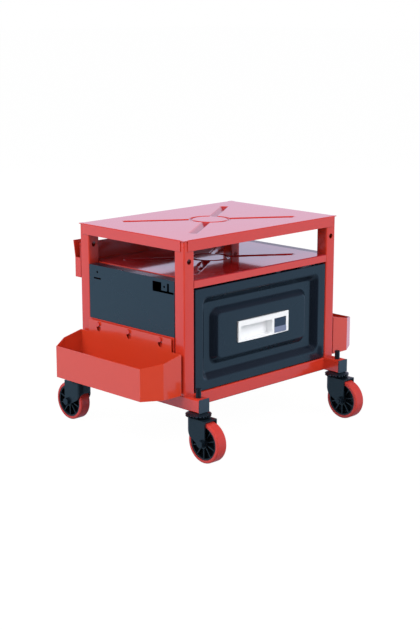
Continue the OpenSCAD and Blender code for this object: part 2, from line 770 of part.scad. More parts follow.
// A folded channel of a slide, between two places measured inwards from the post
module channel(near, far, half_h, web, lip, length, web_near)
    translate([inner_x, 0, slide_z]) difference() {
        span([-far, -near], [-length / 2, length / 2], [-half_h, half_h]);
        span(web_near ? [-far - over, -near - web] : [-far + web, over - near],
            [-length / 2 - over, length / 2 + over], [lip - half_h, half_h - lip]);
    }

module slide_outers() color(STEEL) for (side = [LEFT, RIGHT]) on_side(side) difference() {
    channel(0, outer_flange_in, slide_h / 2, slide_t, slide_t, slide_l, true);
    for (end = [FRONT, REAR]) at_end(end)
        translate([inner_x - slide_t - over, slide_screw_y, slide_z])
            along_x() cylinder(d = slide_screw_d + 2 * run_gap, h = slide_t + 2 * over);
}

module slide_inner(side) color(STEEL) difference() {
    on_side(side) channel(inner_flange_in, slide_w, inner_half_h, slide_t, slide_t, slide_l, false);
    box_screw_places(side) translate([0, 0, -over])
        cylinder(d = slide_screw_d + 2 * run_gap, h = slide_t + 2 * over);
}

// Where the balls of one slide sit, with both tracks
module ball_places() for (i = [0 : ball_count - 1], z = [-1, 1])
    translate([inner_x - ball_in, (i - (ball_count - 1) / 2) * ball_pitch, slide_z + z * track_z])
        children();

module ball_cage(side) color(STEEL) on_side(side) {
    difference() {
        channel(cage_web_in, cage_flange_in, track_z + cage_strip_t / 2, cage_web_t, cage_strip_t,
            cage_l, true);
        ball_places() cylinder(d = ball_d + 2 * ball_play, h = cage_strip_t + 2 * over, center = true);
    }
    ball_places() sphere(d = ball_d);
}

module slide_screws() color(STEEL) for (side = [LEFT, RIGHT], end = [FRONT, REAR])
    on_side(side) at_end(end) translate([inner_x - slide_t, slide_screw_y, slide_z]) along_x() {
        translate([0, 0, -slide_head_t]) cylinder(d = slide_head_d, h = slide_head_t);
        cylinder(d = slide_screw_d, h = slide_screw_l);
    }

module handle_bezel() color(WHITE) difference() {
    union() {
        intersection() {
            span([-bezel_x, bezel_x], [bezel_face - over, -frame_y], [bezel_low, bezel_low + bezel_h]);
            translate([0, bezel_face + bezel_bulge_r, bezel_low])
                cylinder(r = bezel_bulge_r, h = bezel_h, $fn = 720);
        }
        span([cup_left - cup_wall, cup_right + cup_wall], [-frame_y - bezel_proud, cup_floor + cup_wall],
            [cup_low - cup_wall, cup_low + cup_h + cup_wall]);
    }
    translate([(cup_left + cup_right) / 2, bezel_face - over, cup_low + cup_h / 2])
        along_y() round_bar(cup_w, cup_h, cup_corner_r, cup_floor - bezel_face + over);
    span([button_left, button_right], [bezel_face - over, over - frame_y], [cup_low, cup_low + cup_h]);
}

module thumb_button() color(BLUE) {
    back = button_face + button_t;
    side_x = [button_left + play, button_right - play];
    span(side_x, [button_face, back], [cup_low + play, cup_low + cup_h - play]);
    span(side_x, [button_face - button_pad_t, button_face], [cup_low + play, cup_low + button_pad_h]);
    translate([button_x, 0, 0]) rotate([90, 0, 90]) linear_extrude(cam_w, center = true) polygon([
        [button_face, cam_low], [cam_tip - cam_rise, cam_low], [cam_tip, cam_low + cam_rise],
        [cam_tip, cam_low + cam_h], [button_face, cam_low + cam_h]]);
}

module latch_bar() color(STEEL) translate([button_x, 0, 0]) {
    front = latch_back - latch_t;
    gap = play * sqrt(2);
    foot_front = cam_tip - cam_rise;
    span([-latch_w / 2, latch_w / 2], [front, latch_back], [foot_low, latch_top]);
    span([-latch_w / 2, latch_w / 2], [sheet_t + play - frame_y, latch_back],
        [latch_top - hook_h, latch_top]);
    rotate([90, 0, 90]) linear_extrude(cam_w, center = true) polygon([
        [front, foot_low], [foot_front, foot_low], [foot_front, cam_low - gap],
        [cam_tip, cam_low + cam_rise - gap], [front, cam_low + cam_rise - gap]]);
}

module latch_guide() color(STEEL) translate([button_x, 0, 0]) {
    clip_x = latch_w / 2 + play + clip_t;
    clip_back = latch_back + play + clip_t;
    clip_top = emboss_z + recess_h / 2 - recess_depth;
    difference() {
        span([-clip_x, clip_x], [pressed_back, clip_back], [clip_top - clip_h, clip_top]);
        span([clip_t - clip_x, clip_x - clip_t], [pressed_back - over, clip_back - clip_t],
            [clip_top - clip_h - over, clip_top + over]);
    }
    span([-cam_w / 2, cam_w / 2], [spring_y - spring_d, pressed_back],
        [spring_seat_z - spring_seat_t, spring_seat_z]);
}

// A tube swept around a helix, as one closed surface with flat ends
module coil(d, wire_d, turns, rings, sides, length) {
    count = turns * rings;
    points = [for (i = [0 : count], s = [0 : sides - 1])
        let (turn = i * 360 / rings, a = s * 360 / sides, r = d / 2 - wire_d / 2 + wire_d / 2 * cos(a))
        [r * cos(turn), r * sin(turn), wire_d / 2 + i * (length - wire_d) / count + wire_d / 2 * sin(a)]];
    faces = concat(
        [[for (s = [sides - 1 : -1 : 0]) s]],
        [for (i = [0 : count - 1], s = [0 : sides - 1])
            let (a = i * sides + s, b = i * sides + (s + 1) % sides) [a, b, b + sides]],
        [for (i = [0 : count - 1], s = [0 : sides - 1])
            let (a = i * sides + s, b = i * sides + (s + 1) % sides) [a, b + sides, a + sides]],
        [[for (s = [0 : sides - 1]) count * sides + s]]);
    polyhedron(points, faces);
}

module latch_spring() color(STEEL) translate([button_x, spring_y, spring_seat_z])
    coil(spring_d, spring_wire_d, spring_turns, spring_rings, spring_sides, foot_low - spring_seat_z);

// Puts a caster piece, drawn around its stem with the wheel trailing along Y, at one corner
module at_caster(side, end) on_side(side) at_end(end) translate([post_x, caster_y, 0]) children();
module at_casters() for (side = [LEFT, RIGHT], end = [FRONT, REAR]) at_caster(side, end) children();

// Puts a wheel piece, drawn around the Z axis, on the axle
module on_axle() translate([0, trail, wheel_r]) along_x() children();

module caster_stems() color(BLACK) at_casters() {
    head_top = crown_low - play;
    translate([0, 0, head_top - stem_head_t]) cylinder(d = stem_head_d, h = stem_head_t);
    translate([0, 0, head_top]) cylinder(d = stem_d, h = base_top + stem_rise - head_top);
}

module stem_nuts() color(STEEL) at_casters() translate([0, 0, base_low + tube_wall]) difference() {
    hexagon(stem_nut_af, stem_nut_h);
    translate([0, 0, -over]) cylinder(d = stem_d + 2 * run_gap, h = stem_nut_h + 2 * over);
}

// The ring-shaped track that the swivel balls run in
module ball_track() translate([0, 0, (race_low + race_top) / 2]) rotate_extrude()
    translate([race_ball_r, 0]) circle(d = race_ball_d + 2 * ball_play, $fn = 32);

// The hole for the stem, through everything that it passes
module stem_bore() translate([0, 0, crown_low - over])
    cylinder(d = stem_d + 2 * run_gap, h = base_top - crown_low);

module swivel_plates() color(BLACK) at_casters() difference() {
    translate([0, 0, race_top]) cylinder(r1 = top_race_r, r2 = top_race_neck_r, h = upper_race_h);
    stem_bore();
    ball_track();
}

module swivel_balls() color(STEEL) at_casters() for (i = [0 : race_ball_count - 1])
    rotate([0, 0, i * 360 / race_ball_count])
        translate([race_ball_r, 0, (race_low + race_top) / 2]) sphere(d = race_ball_d);

// Plan of the fork: straight at the wheel, with round corners behind the stem
module fork_plan(half_w, back, front, corner_r) {
    translate([-half_w, corner_r - back]) square([2 * half_w, front + back - corner_r]);
    translate([corner_r - half_w, -back]) square([2 * (half_w - corner_r), corner_r + over]);
    for (side = [LEFT, RIGHT])
        translate([side * (half_w - corner_r), corner_r - back]) circle(r = corner_r);
}

// Side view of the fork: a slanted cheek that ends in a round lobe at the axle
module fork_side() {
    reach = fork_slant - [trail, wheel_r];
    touch = atan2(reach[1], reach[0]) + acos(fork_lobe_r / norm(reach));
    polygon([
        [-fork_back, crown_top], [-fork_back, fork_rear_low], fork_slant,
        [trail + fork_lobe_r * cos(touch), wheel_r + fork_lobe_r * sin(touch)],
        [trail, wheel_r], [trail + fork_lobe_r, wheel_r], [trail + fork_lobe_r, crown_top]]);
    translate([trail, wheel_r]) circle(r = fork_lobe_r);
}

module fork(side, end) color(SLATE) at_caster(side, end) difference() {
    union() {
        intersection() {
            difference() {
                linear_extrude(crown_top) fork_plan(fork_x, fork_back, trail + fork_lobe_r, fork_corner_r);
                translate([0, 0, -over]) linear_extrude(crown_low + over) fork_plan(fork_gap / 2,
                    fork_back - fork_t, trail + fork_lobe_r + over, fork_corner_r - fork_t);
            }
            rotate([90, 0, 90]) linear_extrude(2 * (fork_x + over), center = true) fork_side();
        }
        translate([0, 0, crown_top]) cylinder(r1 = race_neck_r, r2 = race_rim_r, h = lower_race_h);
    }
    stem_bore();
    ball_track();
    on_axle() cylinder(d = axle_d + 2 * run_gap, h = 2 * (fork_x + over), center = true);
}

module axle(side, end) color(BLACK) at_caster(side, end) on_axle() {
    tail = -fork_x - axle_nut_h - axle_tail_l;
    translate([0, 0, fork_x]) hexagon(axle_head_af, axle_head_h);
    translate([0, 0, tail]) cylinder(d = axle_d, h = fork_x - tail);
    translate([0, 0, -fork_x - axle_nut_h]) difference() {
        hexagon(axle_head_af, axle_nut_h);
        translate([0, 0, -over]) cylinder(d = axle_d + 2 * run_gap, h = axle_nut_h + 2 * over);
    }
}

module bush(side, end) color(STEEL) at_caster(side, end) on_axle() difference() {
    cylinder(d = bush_d, h = fork_gap, center = true);
    cylinder(d = axle_d + 2 * run_gap, h = fork_gap + 2 * over, center = true);
}

module hub(side, end) color(BLACK) at_caster(side, end) on_axle() difference() {
    hub_r = wheel_r - tread_t;
    hub_w = wheel_w - 2 * hub_inset;
    union() {
        difference() {
            cylinder(r = hub_r, h = hub_w, center = true);
            cylinder(r = hub_r - hub_rim_t, h = hub_w + 2 * over, center = true);
        }
        cylinder(r = hub_r - hub_rim_t / 2, h = hub_web_t, center = true);
        cylinder(r = hub_boss_r, h = fork_gap - 2 * hub_gap, center = true);
        for (i = [0 : rib_count - 1]) rotate([0, 0, i * 360 / rib_count])
            translate([0, -hub_rib_t / 2, hub_inset - hub_w / 2])
                cube([hub_r - hub_rim_t / 2, hub_rib_t, hub_w - 2 * hub_inset]);
    }
    cylinder(d = bush_d + 2 * run_gap, h = fork_gap + 2 * over, center = true);
}

module tread(side, end) color(TREAD_RED) at_caster(side, end) on_axle() rotate_extrude($fn = 96) {
    inner_r = wheel_r - tread_t + run_gap;
    translate([inner_r, -wheel_w / 2]) square([wheel_r - tread_edge_r - inner_r, wheel_w]);
    translate([inner_r, tread_edge_r - wheel_w / 2])
        square([wheel_r - inner_r, wheel_w - 2 * tread_edge_r]);
    for (y = [-1, 1]) translate([wheel_r - tread_edge_r, y * (wheel_w / 2 - tread_edge_r)])
        circle(r = tread_edge_r, $fn = 32);
}

seat_plate();
shelf_plate();
post(LEFT, FRONT);  // post_front_left
post(RIGHT, FRONT);  // post_front_right
post(LEFT, REAR);  // post_rear_left
post(RIGHT, REAR);  // post_rear_right
base_tube(LEFT);  // base_tube_left
base_tube(RIGHT);  // base_tube_right
rail(FRONT);  // rail_front
rail(REAR);  // rail_rear
tube_caps();
side_panel(LEFT);  // side_panel_left
side_panel(RIGHT);  // side_panel_right
back_panel();
tool_rack();
rack_screws();
tray(LEFT);  // tray_left
tray(RIGHT);  // tray_right
tray_rails();
tray_screws();
tray_spacers();
drawer_front();
drawer_box();
drawer_box_ends();
drawer_screws();
slide_outers();
slide_inner(LEFT);  // slide_inner_left
slide_inner(RIGHT);  // slide_inner_right
ball_cage(LEFT);  // ball_cage_left
ball_cage(RIGHT);  // ball_cage_right
slide_screws();
handle_bezel();
thumb_button();
latch_bar();
latch_guide();
latch_spring();
caster_stems();
stem_nuts();
swivel_plates();
swivel_balls();
fork(LEFT, FRONT);  // fork_front_left
fork(RIGHT, FRONT);  // fork_front_right
fork(LEFT, REAR);  // fork_rear_left
fork(RIGHT, REAR);  // fork_rear_right
axle(LEFT, FRONT);  // axle_front_left
axle(RIGHT, FRONT);  // axle_front_right
axle(LEFT, REAR);  // axle_rear_left
axle(RIGHT, REAR);  // axle_rear_right
bush(LEFT, FRONT);  // bush_front_left
bush(RIGHT, FRONT);  // bush_front_right
bush(LEFT, REAR);  // bush_rear_left
bush(RIGHT, REAR);  // bush_rear_right
hub(LEFT, FRONT);  // hub_front_left
hub(RIGHT, FRONT);  // hub_front_right
hub(LEFT, REAR);  // hub_rear_left
hub(RIGHT, REAR);  // hub_rear_right
tread(LEFT, FRONT);  // tread_front_left
tread(RIGHT, FRONT);  // tread_front_right
tread(LEFT, REAR);  // tread_rear_left
tread(RIGHT, REAR);  // tread_rear_right
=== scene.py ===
# The looks of a rolling creeper seat, from its frame of square tube down to the wheels.
# Lengths are in metres: X runs along the drawer front, Y to the back and Z up, from the floor under the
# middle of the seat.
import math

import bmesh
import bpy
from mathutils import Matrix, Vector


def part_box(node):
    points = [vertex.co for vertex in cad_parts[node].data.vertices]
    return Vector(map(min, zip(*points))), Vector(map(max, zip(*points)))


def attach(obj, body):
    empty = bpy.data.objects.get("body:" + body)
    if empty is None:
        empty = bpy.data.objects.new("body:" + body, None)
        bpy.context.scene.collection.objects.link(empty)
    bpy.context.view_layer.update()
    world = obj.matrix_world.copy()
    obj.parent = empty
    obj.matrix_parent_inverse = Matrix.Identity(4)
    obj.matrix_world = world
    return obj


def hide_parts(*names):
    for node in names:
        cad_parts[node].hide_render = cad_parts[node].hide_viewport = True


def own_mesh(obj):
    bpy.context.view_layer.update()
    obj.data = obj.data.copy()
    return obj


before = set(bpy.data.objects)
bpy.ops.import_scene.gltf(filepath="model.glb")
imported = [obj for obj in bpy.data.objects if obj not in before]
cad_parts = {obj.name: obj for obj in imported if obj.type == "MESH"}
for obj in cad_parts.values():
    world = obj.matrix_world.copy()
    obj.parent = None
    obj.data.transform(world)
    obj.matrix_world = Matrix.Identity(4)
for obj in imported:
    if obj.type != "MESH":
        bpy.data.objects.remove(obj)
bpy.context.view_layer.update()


# Base tubes, rails and posts
# The frame is one stock of square steel tube with rounded corners, cut to length, welded, and coated in a
# glossy red powder enamel. Each post has a round hole near its top, from front to back.
MM = 0.001
SIDES = ("left", "right")
ENDS = ("front", "rear")


class Socket:
    """One output of a shader node, with the operators that the finishes use."""

    def __init__(self, shader, link):
        self.shader = shader
        self.link = link

    def out(self, name):
        return Socket(self.shader, self.link.node.outputs[name])

    def math(self, operation, first, second):
        return self.shader.node("ShaderNodeMath", {"operation": operation}, first, second)

    def __mul__(self, other):
        return self.math("MULTIPLY", self, other)

    def __gt__(self, other):
        return self.math("GREATER_THAN", self, other)

    __rmul__ = __mul__

    def band(self, low, high, start=0.0, end=1.0):
        """Goes from start to end while this value goes from low to high, and no further."""
        return self.shader.node("ShaderNodeMapRange", {"clamp": True}, self, low, high, start, end)


class Shader:
    """The nodes of one material or world."""

    def __init__(self, block):
        block.use_nodes = True
        self.block = block
        self.tree = block.node_tree
        self.tree.nodes.clear()

    def plug(self, socket, value):
        if isinstance(value, Socket):
            self.tree.links.new(value.link, socket)
        elif socket.type == "RGBA":
            socket.default_value = (*value, 1)
        else:
            socket.default_value = value

    def node(self, kind, settings, *values, **named):
        """Adds a node: its settings, then its sockets in order, or by name with _ for a space."""
        made = self.tree.nodes.new(kind)
        for key, setting in settings.items():
            setattr(made, key, setting)
        usable = [socket for socket in made.inputs if socket.enabled]
        for socket, value in zip(usable, values):
            self.plug(socket, value)
        for name, value in named.items():
            self.plug(made.inputs[name.replace("_", " ")], value)
        return Socket(self, next(socket for socket in made.outputs if socket.enabled))

    def blend(self, share, first, second):
        """All of the first colour at share 0, all of the second at share 1."""
        return self.node("ShaderNodeMix", {"data_type": "RGBA"}, share, first, second)

    def place(self):
        return self.node("ShaderNodeTexCoord", {}).out("Object")

    def height(self):
        """How far a point of the object is above the floor."""
        return self.node("ShaderNodeSeparateXYZ", {}, self.place()).out("Z")

    def cloud(self, scale, detail=2.0):
        """Soft noise from 0 to 1, in patches of about 1 / scale metres."""
        return self.node("ShaderNodeTexNoise", {}, Vector=self.place(), Scale=scale, Detail=detail)

    def finish(self, surface):
        """Joins the surface to the output, and gives the finished material or world."""
        in_world = isinstance(self.block, bpy.types.World)
        kind = "ShaderNodeOutputWorld" if in_world else "ShaderNodeOutputMaterial"
        self.tree.links.new(surface.link, self.tree.nodes.new(kind).inputs[0])
        return self.block


# Painted shade: a deeper red for up-facing faces in the grooves and under the seat, fading in over a short
# height.
PAINTED_SHADE_RED = (0.36, 0.010, 0.014)
PAINTED_SHADE_EDGE = 1.5 * MM
PEEL_HEIGHT = 0.05 * MM


def enamel(name, colour, dusted, rough, gloss, lacquer, painted_shade_below=None):
    """Powder coat: orange peel about 2 mm across, a shiny skin, and faint cloudy dust.

    What faces up below a given height gets painted shade: a deeper red that stands in for shadow."""
    paint = Shader(bpy.data.materials.new(name))
    # Painted shade: up-facing faces below the height are blended to a deeper red, standing in for the shadow
    # there.
    if painted_shade_below:
        facing = paint.node("ShaderNodeNewGeometry", {}).out("Normal")
        up = paint.node("ShaderNodeSeparateXYZ", {}, facing).out("Z").band(0.3, 0.5)
        low = paint.height().band(painted_shade_below - PAINTED_SHADE_EDGE, painted_shade_below, 1.0, 0.0)
        colour = paint.blend(up * low, colour, PAINTED_SHADE_RED)
    clouds = paint.cloud(scale=8.0)
    peel = paint.cloud(scale=450.0, detail=1.0)
    skin = paint.node("ShaderNodeBump", {}, Strength=0.35, Distance=PEEL_HEIGHT, Height=peel)
    tone = paint.blend(clouds.band(0.4, 0.7, 0.0, 0.2), colour, dusted)
    shine = clouds.band(0.3, 0.7, rough * 0.85, rough * 1.2)
    return paint.finish(paint.node(
        "ShaderNodeBsdfPrincipled", {}, Base_Color=tone, Roughness=shine, Specular_IOR_Level=gloss,
        Normal=skin, Coat_Weight=lacquer, Coat_Roughness=0.05, Coat_IOR=1.6))


RED = (0.60, 0.034, 0.014)
RED_DUSTED = (0.62, 0.056, 0.034)
frame_enamel = enamel("frame_enamel", RED, RED_DUSTED, rough=0.22, gloss=0.5, lacquer=0.5)


def meshed(name, bm):
    """Turns a bmesh into a mesh."""
    mesh = bpy.data.meshes.new(name)
    bm.to_mesh(mesh)
    bm.free()
    return mesh


def modified(mesh, kind, **settings):
    """The mesh after one of Blender's modifiers."""
    holder = bpy.data.objects.new(mesh.name, mesh)
    bpy.context.scene.collection.objects.link(holder)
    modifier = holder.modifiers.new(kind, kind)
    for key, setting in settings.items():
        setattr(modifier, key, setting)
    graph = bpy.context.evaluated_depsgraph_get()
    done = bpy.data.meshes.new_from_object(holder.evaluated_get(graph))
    done.name = mesh.name
    bpy.data.objects.remove(holder)
    return done


FOLD_ANGLE = math.radians(28)
SHARP_ANGLE = 1.5 * FOLD_ANGLE


def smoothed(name, bm, rounding=0.0, segments=2):
    """Rounds a bmesh's sharp edges, and shades it so that flat faces stay flat."""
    if rounding:
        sharp = [edge for edge in bm.edges if edge.is_manifold and edge.calc_face_angle(0) > FOLD_ANGLE]
        bmesh.ops.bevel(bm, geom=sharp, offset=rounding, segments=segments, profile=0.5, affect="EDGES",
                        clamp_overlap=True)
    for edge in bm.edges:
        edge.smooth = not edge.is_manifold or edge.calc_face_angle(0) < SHARP_ANGLE
    for face in bm.faces:
        face.smooth = True
    return modified(meshed(name, bm), "WEIGHTED_NORMAL", weight=60, keep_sharp=True)


def piece(name, mesh, material, body, nodes):
    """Puts a finished mesh in the place of one or more nodes."""
    made = bpy.data.objects.new(name, mesh)
    bpy.context.scene.collection.objects.link(made)
    mesh.materials.clear()
    mesh.materials.append(material)
    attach(made, body)
    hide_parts(*nodes)
    return made


TUBE_R = 2.6 * MM
TUBE_WALL = 1.5 * MM
TUBE_CORNER_STEPS = 5
POST_HOLE_R = 5 * MM
POST_HOLE_DROP = 37.5 * MM
HOLE_SIDES = 40
AXES = [Matrix.Rotation(math.pi / 2, 4, "Y"), Matrix.Rotation(-math.pi / 2, 4, "X"), Matrix.Identity(4)]


def round_rect(half_w, half_h, radius, steps=8):
    """The points of a rectangle with round corners, anticlockwise from the right."""
    corners = [(1, 1, 0), (-1, 1, 90), (-1, -1, 180), (1, -1, 270)]
    turns = [[math.radians(start + 90 * i / steps) for i in range(steps + 1)] for x, y, start in corners]
    return [(x * (half_w - radius) + radius * math.cos(a), y * (half_h - radius) + radius * math.sin(a))
            for (x, y, start), turn in zip(corners, turns) for a in turn]


def skin_rings(bm, rings, closed=False):
    """Joins rings of as many points each by strips of quads."""
    made = [[bm.verts.new(point) for point in ring] for ring in rings]
    for first, second in zip(made, made[1:] + made[:1] if closed else made[1:]):
        for i in range(len(first)):
            bm.faces.new((first[i - 1], first[i], second[i], second[i - 1]))
    return made


def cut_away(mesh, bm):
    """The mesh without all that lies inside a bmesh."""
    cutter = bpy.data.objects.new("cutter", meshed("cutter", bm))
    bpy.context.scene.collection.objects.link(cutter)
    done = modified(mesh, "BOOLEAN", operation="DIFFERENCE", solver="EXACT", object=cutter)
    bpy.data.objects.remove(cutter)
    return done


def drilled(mesh, centre, axis, radius, length):
    """The mesh with a round hole through it along an axis."""
    drill = bmesh.new()
    bmesh.ops.create_cone(drill, cap_ends=True, segments=HOLE_SIDES, radius1=radius, radius2=radius,
                          depth=length, matrix=Matrix.Translation(centre) @ AXES[axis])
    return cut_away(mesh, drill)


def add_tube(node, axis, hole=None):
    """A square tube with round corners in the place of a node, drilled from front to back at a hole."""
    low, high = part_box(node)
    half = (high - low)[(axis + 1) % 3] / 2
    long = (high - low)[axis] / 2
    inner_r = TUBE_R - TUBE_WALL
    outer = round_rect(half, half, TUBE_R, TUBE_CORNER_STEPS)
    inner = round_rect(half - TUBE_WALL, half - TUBE_WALL, inner_r, TUBE_CORNER_STEPS)
    turn = Matrix.Translation((low + high) / 2) @ AXES[axis]
    bm = bmesh.new()
    skin_rings(bm, [[turn @ Vector((*point, end)) for point in ring] for ring, end in [
        (outer, -long), (outer, long), (inner, long), (inner, -long)]], closed=True)
    bmesh.ops.recalc_face_normals(bm, faces=bm.faces)
    mesh = smoothed(node + "_tube", bm)
    if hole:
        mesh = drilled(mesh, hole, 1, POST_HOLE_R, 4 * half)
    piece(node + "_tube", mesh, frame_enamel, "frame", [node])


for side in SIDES:
    add_tube("base_tube_" + side, 1)
for end in ENDS:
    add_tube("rail_" + end, 0)
    for side in SIDES:
        low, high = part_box("post_%s_%s" % (end, side))
        middle = (low + high) / 2
        add_tube("post_%s_%s" % (end, side), 2, Vector((middle.x, middle.y, high.z - POST_HOLE_DROP)))


# Tube caps
# Four caps of blue-grey plastic, moulded with a plug that is pushed into each end of the base tubes.
GRAIN_HEIGHT = 0.03 * MM
WELD_GAP = 0.002 * MM
FLAT_ANGLE = math.radians(0.5)


def moulded(name, colour, second, rough):
    """Moulded plastic: a fine spark-eroded grain, and tone and shine that vary a little."""
    plastic = Shader(bpy.data.materials.new(name))
    clouds = plastic.cloud(scale=14.0)
    grit = plastic.cloud(scale=1100.0, detail=1.0)
    skin = plastic.node("ShaderNodeBump", {}, Strength=0.4, Distance=GRAIN_HEIGHT, Height=grit)
    tone = plastic.blend(clouds.band(0.35, 0.7, 0.0, 0.3), colour, second)
    shine = clouds.band(0.3, 0.7, rough * 0.9, rough * 1.15)
    return plastic.finish(plastic.node(
        "ShaderNodeBsdfPrincipled", {}, Base_Color=tone, Roughness=shine, Normal=skin))


def softened(node, rounding, material, body, segments=2):
    """Stands a copy of a node in its place, with the edges rounded as the real piece has them."""
    bm = bmesh.new()
    bm.from_mesh(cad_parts[node].data)
    bmesh.ops.remove_doubles(bm, verts=bm.verts, dist=WELD_GAP)
    bmesh.ops.dissolve_limit(bm, angle_limit=FLAT_ANGLE, verts=bm.verts, edges=bm.edges)
    mesh = smoothed(node + "_mesh", bm, rounding, segments)
    return piece(node + "_piece", mesh, material, body, [node])


cap_plastic = moulded("cap_plastic", (0.030, 0.048, 0.070), (0.040, 0.060, 0.085), rough=0.45)
softened("tube_caps", 0.8 * MM, cap_plastic, "frame", segments=3)


# Cabinet panels
# Two sides and a back of folded sheet in blue-grey enamel, welded between the posts. Each side has a window
# with two standing tabs, a small hole and a slot.
SLATE = (0.005, 0.009, 0.017)
SLATE_DUSTED = (0.009, 0.015, 0.026)
cabinet_enamel = enamel("cabinet_enamel", SLATE, SLATE_DUSTED, rough=0.26, gloss=0.45, lacquer=0.35)
for name in ("side_panel_left", "side_panel_right", "back_panel"):
    softened(name, 0.3 * MM, cabinet_enamel, "frame")


# Seat and shelf
# Two pans of 1.5 mm sheet, each pressed with an X and a ring that stiffen it, in the frame's red. The seat's
# skirts stop short of its corners, and the shelf has a lip folded down at the front and back.
SHEET = 1.5 * MM
FOLD_R = 2.4 * MM
FOLD_STEPS = 4
CELL = 2.2 * MM
SEAM_GAP = 0.02 * MM
GROOVE_HALF, GROOVE_FLOOR_HALF, GROOVE_DEPTH, GROOVE_END_SLOPE = 8 * MM, 1 * MM, 7 * MM, 18 * MM
GROOVE_CORNER_GAP = 82.5 * MM
RING_R, RING_HALF, RING_DEPTH = 37 * MM, 4 * MM, 3 * MM
RELIEF = 9 * MM
PAINTED_SHADE_DROP = 0.3 * MM
seat_low, seat_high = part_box("seat_plate")
shelf_low, shelf_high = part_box("shelf_plate")
groove_angle = math.atan2(seat_high.y, seat_high.x)
groove_end = math.hypot(seat_high.x, seat_high.y) - GROOVE_CORNER_GAP
# Painted shade: the seat's up-facing faces below its top (grooves, ring, along the folds) and the whole top
# of the shelf under the seat turn a deeper red.
seat_enamel = enamel("seat_enamel", RED, RED_DUSTED, rough=0.1, gloss=0.5, lacquer=0.8,
                     painted_shade_below=seat_high.z - PAINTED_SHADE_DROP)
shelf_enamel = enamel("shelf_enamel", RED, RED_DUSTED, rough=0.1, gloss=0.5, lacquer=0.8,
                      painted_shade_below=seat_low.z)


def pressed(x, y):
    """The depth of the pressing at a point of a pan."""
    along = abs(x) * math.cos(groove_angle) + abs(y) * math.sin(groove_angle)
    across = abs(abs(y) * math.cos(groove_angle) - abs(x) * math.sin(groove_angle))
    ends = min(along - RING_R, groove_end - along) / GROOVE_END_SLOPE
    sides = (GROOVE_HALF - across) / (GROOVE_HALF - GROOVE_FLOOR_HALF)
    ring = 1 - abs(math.hypot(x, y) - RING_R) / RING_HALF
    return max(0, GROOVE_DEPTH * min(1, sides, ends), RING_DEPTH * ring)


def thickened(name, bm):
    """The outer skin of a folded sheet, made as thick as the sheet on its inner side."""
    thick = modified(meshed(name, bm), "SOLIDIFY", thickness=SHEET, offset=-1, use_even_offset=True)
    bm = bmesh.new()
    bm.from_mesh(thick)
    return smoothed(name, bm)


def pan(name, half_x, half_y, top, skirt_x, skirt_y, relief):
    """A pressed sheet with folded skirts. Its cells run along the X, so that the grooves come out clean."""
    flat_x = half_x - (FOLD_R if skirt_x else 0)
    flat_y = half_y - (FOLD_R if skirt_y else 0)
    count = 2 * round(math.hypot(flat_x, flat_y) / CELL / 2)
    bm = bmesh.new()
    grid = {(u, v): bm.verts.new((flat_x * u / count, flat_y * v / count, top))
            for u in range(-count, count + 1) for v in range(-count, count + 1) if (u + v) % 2 == 0}
    for u in range(-count, count + 1):
        for v in range(-count, count + 1):
            if (u + v) % 2:
                corners = [grid.get(place) for place in ((u + 1, v), (u, v + 1), (u - 1, v), (u, v - 1))]
                bm.faces.new([corner for corner in corners if corner])
    near_ring = [edge for edge in bm.edges
                 if abs(math.hypot(*edge.verts[0].co.xy) - RING_R) < 2 * RING_HALF]
    bmesh.ops.subdivide_edges(bm, edges=near_ring, cuts=1, use_grid_fill=True)
    for v in bm.verts:
        v.co.z = top - pressed(v.co.x, v.co.y)

    def strip(points, sections):
        """Joins the rows that the sections make of the points by quads."""
        rows = [[bm.verts.new(section(p)) for p in points] for section in sections]
        for low, high in zip(rows, rows[1:]):
            for i in range(len(points) - 1):
                bm.faces.new((low[i], low[i + 1], high[i + 1], high[i]))

    bends = [math.pi / 2 * i / FOLD_STEPS for i in range(FOLD_STEPS + 1)]
    for half, flat, other, skirt, swap in [(half_x, flat_x, flat_y, skirt_x, False),
                                           (half_y, flat_y, flat_x, skirt_y, True)]:
        if not skirt:
            continue
        line = [other * i / count for i in range(-count, count + 1, 2)]
        skirted = [p for p in line if abs(p) <= other + FOLD_R - relief] if relief else line
        profile = [(flat + FOLD_R * math.sin(a), top - FOLD_R * (1 - math.cos(a))) for a in bends]
        profile.append((half, top - skirt))
        for sign in (-1, 1):
            def section(out, z):
                return lambda p: (p, sign * out, z) if swap else (sign * out, p, z)
            strip(skirted, [section(out, z) for out, z in profile])
            if relief:
                corner = [p for p in line if p >= skirted[-1]]
                if not swap:
                    corner.append(half_y)
                for way in (-1, 1):
                    strip([way * p for p in corner], [section(flat, top), section(half, top)])
    bmesh.ops.remove_doubles(bm, verts=bm.verts, dist=SEAM_GAP)
    bmesh.ops.recalc_face_normals(bm, faces=bm.faces)
    middle = min(bm.faces, key=lambda face: face.calc_center_median().xy.length)
    if middle.normal.z < 0:
        bmesh.ops.reverse_faces(bm, faces=bm.faces)
    return thickened(name, bm)


skirt = seat_high.z - seat_low.z
seat_pan = pan("seat_pan", seat_high.x, seat_high.y, seat_high.z, skirt, skirt, RELIEF)
piece("seat_pan", seat_pan, seat_enamel, "frame", ["seat_plate"])
shelf_half_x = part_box("post_front_right")[0].x
lip = shelf_high.z - shelf_low.z
shelf_pan = pan("shelf_pan", shelf_half_x, shelf_high.y, shelf_high.z, 0, lip, 0)
piece("shelf_pan", shelf_pan, shelf_enamel, "frame", ["shelf_plate"])


# Tool rack
# A trough of folded red sheet behind the seat, with two tall ears, screwed to the rear posts.
softened("tool_rack", 0.35 * MM, frame_enamel, "frame")


